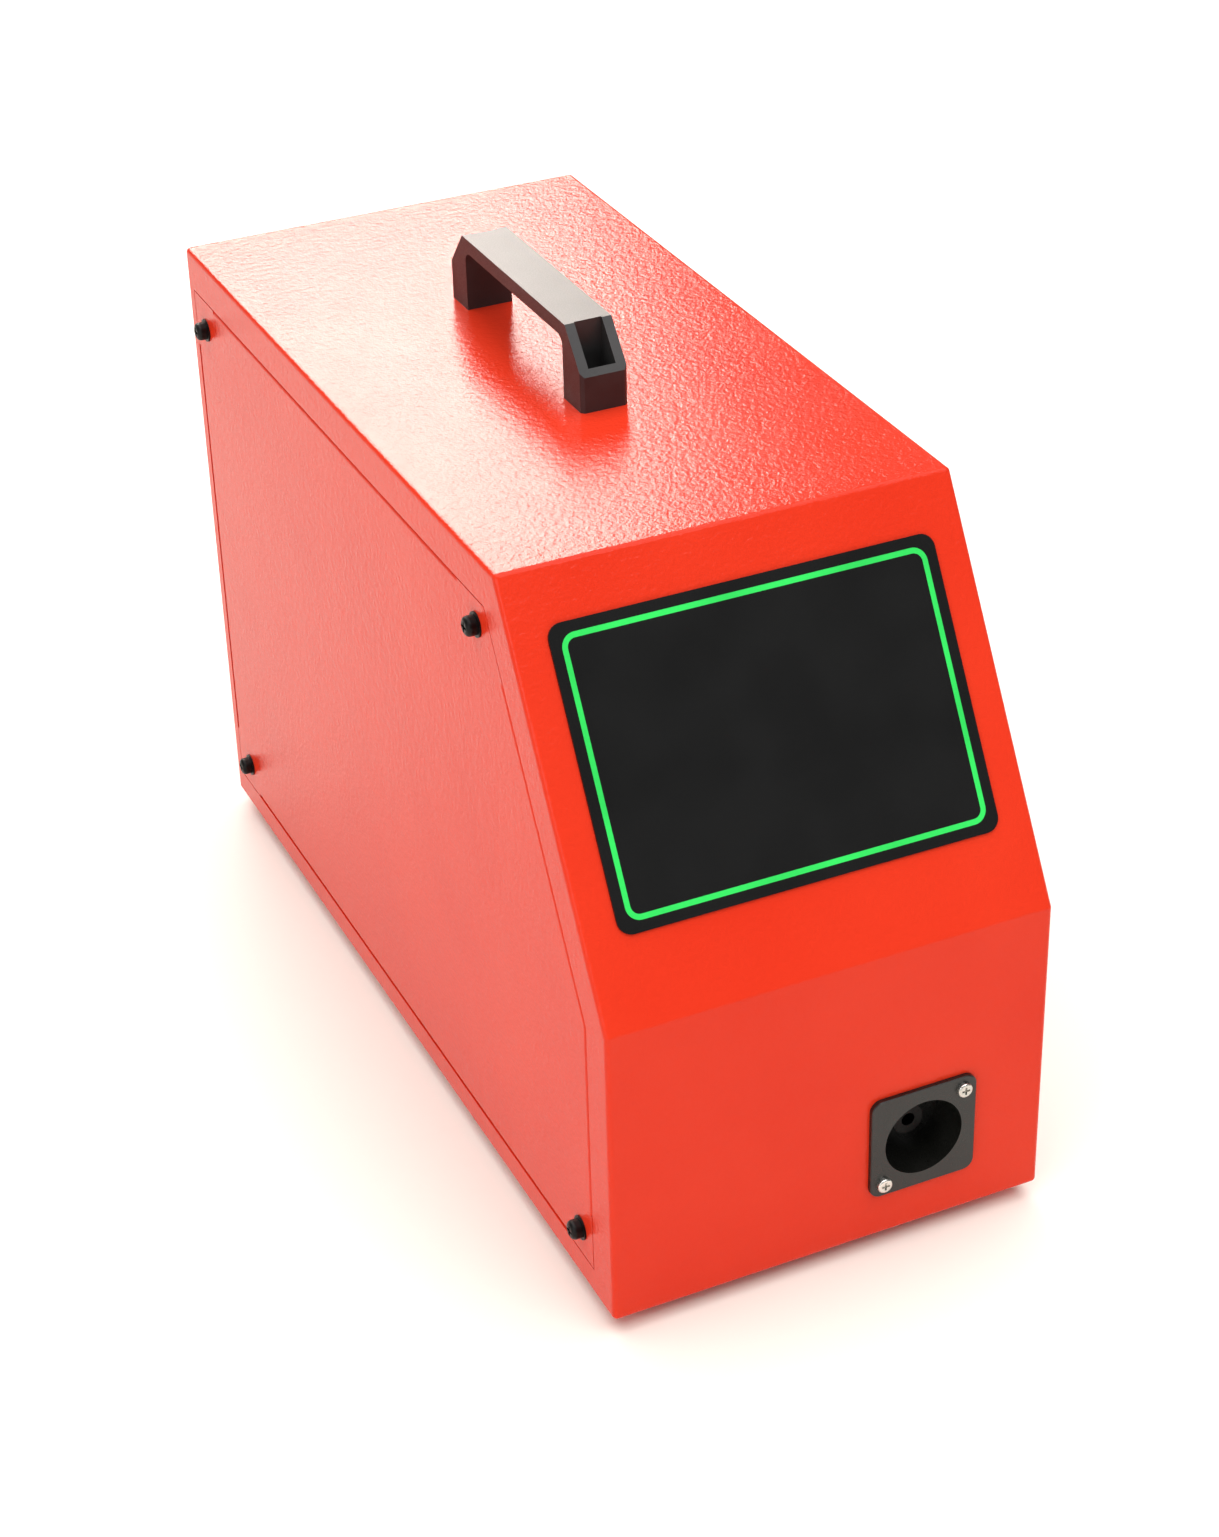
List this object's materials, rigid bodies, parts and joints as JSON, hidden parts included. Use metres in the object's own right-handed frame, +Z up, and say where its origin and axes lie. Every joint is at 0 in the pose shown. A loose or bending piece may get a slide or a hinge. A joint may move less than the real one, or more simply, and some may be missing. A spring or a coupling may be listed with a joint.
{
  "type": "welding wire feeder",
  "caption": "Sheet steel wire feeder case with sloped front, bridge handle, flush side cover and door, spool hub, geared roller drive and electronics bay.",
  "frame": {"origin": "centre of the case's footprint, on the plane that the feet stand on", "axes": "+X to the door side, +Y to the rear panel, +Z up"},
  "size_m": [0.274, 0.611, 0.445],
  "materials": {
    "red_coat": "gloss powder coat with fine orange peel",
    "black_nylon": "satin moulded nylon",
    "black_gloss": "gloss printed film",
    "green_line": "bright printed line",
    "black_flange": "satin black moulding",
    "black_screws": "black zinc",
    "zinc_screws": "zinc plated",
    "steel": "machined steel",
    "hard_steel": "hardened, ground",
    "alloy": "machined plate, clear anodised",
    "die_cast": "die cast, blasted",
    "motor_steel": "black enamel",
    "galvanised": "galvanised sheet",
    "brass": "turned",
    "rubber": "moulded",
    "hub_nylon": "moulded nylon",
    "board_green": "solder mask",
    "supply_case": "pressed sheet",
    "wire_black": "insulation",
    "knob_red": "moulded",
    "button_green": "moulded",
    "button_black": "moulded"
  },
  "bodies": {
    "case": {"base_pan": "red_coat", "border_line": "green_line", "button_box": "black_nylon", "case_screws": "zinc_screws", "conduit_socket": "black_screws", "cover_brackets": "galvanised", "cover_screws": "black_screws", "divider": "galvanised", "drive_plate": "alloy", "driver_board": "board_green", "feet": "rubber", "gearbox": "die_cast", "ground_stud": "brass", "handle": "black_nylon", "handle_screws": "black_screws", "harness": "wire_black", "hinge_knuckles": "steel", "hub_axle": "steel", "left_cover": "red_coat", "left_side_frame": "red_coat", "lever_clevis": "steel", "motor_can": "motor_steel", "name_plate": "black_gloss", "outlet_flange": "black_flange", "outlet_screws": "zinc_screws", "plate_fixings": "zinc_screws", "power_inlet": "black_nylon", "power_supply": "supply_case", "rear_flanges": "red_coat", "rear_panel": "red_coat", "right_side_frame": "red_coat", "signal_socket": "zinc_screws", "switch_body": "black_nylon", "wire_guides": "brass", "wrap_panel": "red_coat"},
    "door": {"right_door": "red_coat", "door_pull": "black_nylon", "hinge_leaves": "steel", "latch_bezels": "black_nylon"},
    "low_latch": {"latch_low": "black_nylon"},
    "high_latch": {"latch_high": "black_nylon"},
    "hub": {"spool_hub": "hub_nylon"},
    "driver": {"drive_gear": "steel"},
    "front_feed": {"feed_gear_front": "steel", "feed_roller_front": "hard_steel", "feed_shaft_front": "steel"},
    "rear_feed": {"feed_gear_rear": "steel", "feed_roller_rear": "hard_steel", "feed_shaft_rear": "steel"},
    "front_arm": {"pressure_arm_front": "die_cast"},
    "rear_arm": {"pressure_arm_rear": "die_cast"},
    "front_pressure": {"pressure_roller_front": "hard_steel"},
    "rear_pressure": {"pressure_roller_rear": "hard_steel"},
    "front_lever": {"tension_rod_front": "zinc_screws", "tension_knob_front": "knob_red"},
    "rear_lever": {"tension_rod_rear": "zinc_screws", "tension_knob_rear": "knob_red"},
    "rocker": {"switch_rocker": "knob_red"},
    "forward_button": {"button_forward": "button_green"},
    "reverse_button": {"button_reverse": "button_black"}
  },
  "joints": [
    {"name": "door_hinge", "type": "hinge", "parent": "case", "child": "door", "pos_m": [0.1336, 0.2945, 0.205], "axis": [0, 0, 1], "range_deg": [0, 110]},
    {"name": "low_latch_turn", "type": "hinge", "parent": "door", "child": "low_latch", "pos_m": [0.13, -0.257, 0.105], "axis": [-1, 0, 0], "range_deg": [0, 90]},
    {"name": "high_latch_turn", "type": "hinge", "parent": "door", "child": "high_latch", "pos_m": [0.13, -0.20143, 0.27728], "axis": [-1, 0, 0], "range_deg": [0, 90]},
    {"name": "hub_spin", "type": "hinge", "parent": "case", "child": "hub", "pos_m": [0.05, 0.14, 0.207], "axis": [1, 0, 0], "continuous": true},
    {"name": "motor_spin", "type": "hinge", "parent": "case", "child": "driver", "pos_m": [0.042, -0.14, 0.053], "axis": [1, 0, 0], "continuous": true},
    {"name": "front_feed_spin", "type": "hinge", "parent": "case", "child": "front_feed", "pos_m": [0.042, -0.176, 0.053], "axis": [1, 0, 0], "continuous": true},
    {"name": "rear_feed_spin", "type": "hinge", "parent": "case", "child": "rear_feed", "pos_m": [0.042, -0.104, 0.053], "axis": [1, 0, 0], "continuous": true},
    {"name": "front_arm_lift", "type": "hinge", "parent": "case", "child": "front_arm", "pos_m": [0.042, -0.2, 0.1], "axis": [1, 0, 0], "range_deg": [0, 55]},
    {"name": "rear_arm_lift", "type": "hinge", "parent": "case", "child": "rear_arm", "pos_m": [0.042, -0.08, 0.1], "axis": [-1, 0, 0], "range_deg": [0, 55]},
    {"name": "front_pressure_spin", "type": "hinge", "parent": "front_arm", "child": "front_pressure", "pos_m": [0.054, -0.176, 0.0866], "axis": [1, 0, 0], "continuous": true},
    {"name": "rear_pressure_spin", "type": "hinge", "parent": "rear_arm", "child": "rear_pressure", "pos_m": [0.054, -0.104, 0.0866], "axis": [1, 0, 0], "continuous": true},
    {"name": "front_lever_swing", "type": "hinge", "parent": "case", "child": "front_lever", "pos_m": [0.042, -0.152, 0.08], "axis": [0, -1, 0], "range_deg": [0, 70]},
    {"name": "rear_lever_swing", "type": "hinge", "parent": "case", "child": "rear_lever", "pos_m": [0.042, -0.128, 0.08], "axis": [0, -1, 0], "range_deg": [0, 70]},
    {"name": "rocker_tilt", "type": "hinge", "parent": "case", "child": "rocker", "pos_m": [-0.025, 0.298, 0.08], "axis": [-1, 0, 0], "range_deg": [0, 24]},
    {"name": "forward_press", "type": "slide", "parent": "case", "child": "forward_button", "axis": [-1, 0, 0], "range_m": [0, 0.003], "stiffness_N_per_m": 300, "springref_m": -0.002},
    {"name": "reverse_press", "type": "slide", "parent": "case", "child": "reverse_button", "axis": [-1, 0, 0], "range_m": [0, 0.003], "stiffness_N_per_m": 300, "springref_m": -0.002}
  ],
  "couplings": [
    {"joint": "front_feed_spin", "follows": "motor_spin", "ratio": -0.71429},
    {"joint": "rear_feed_spin", "follows": "motor_spin", "ratio": -0.71429}
  ]
}
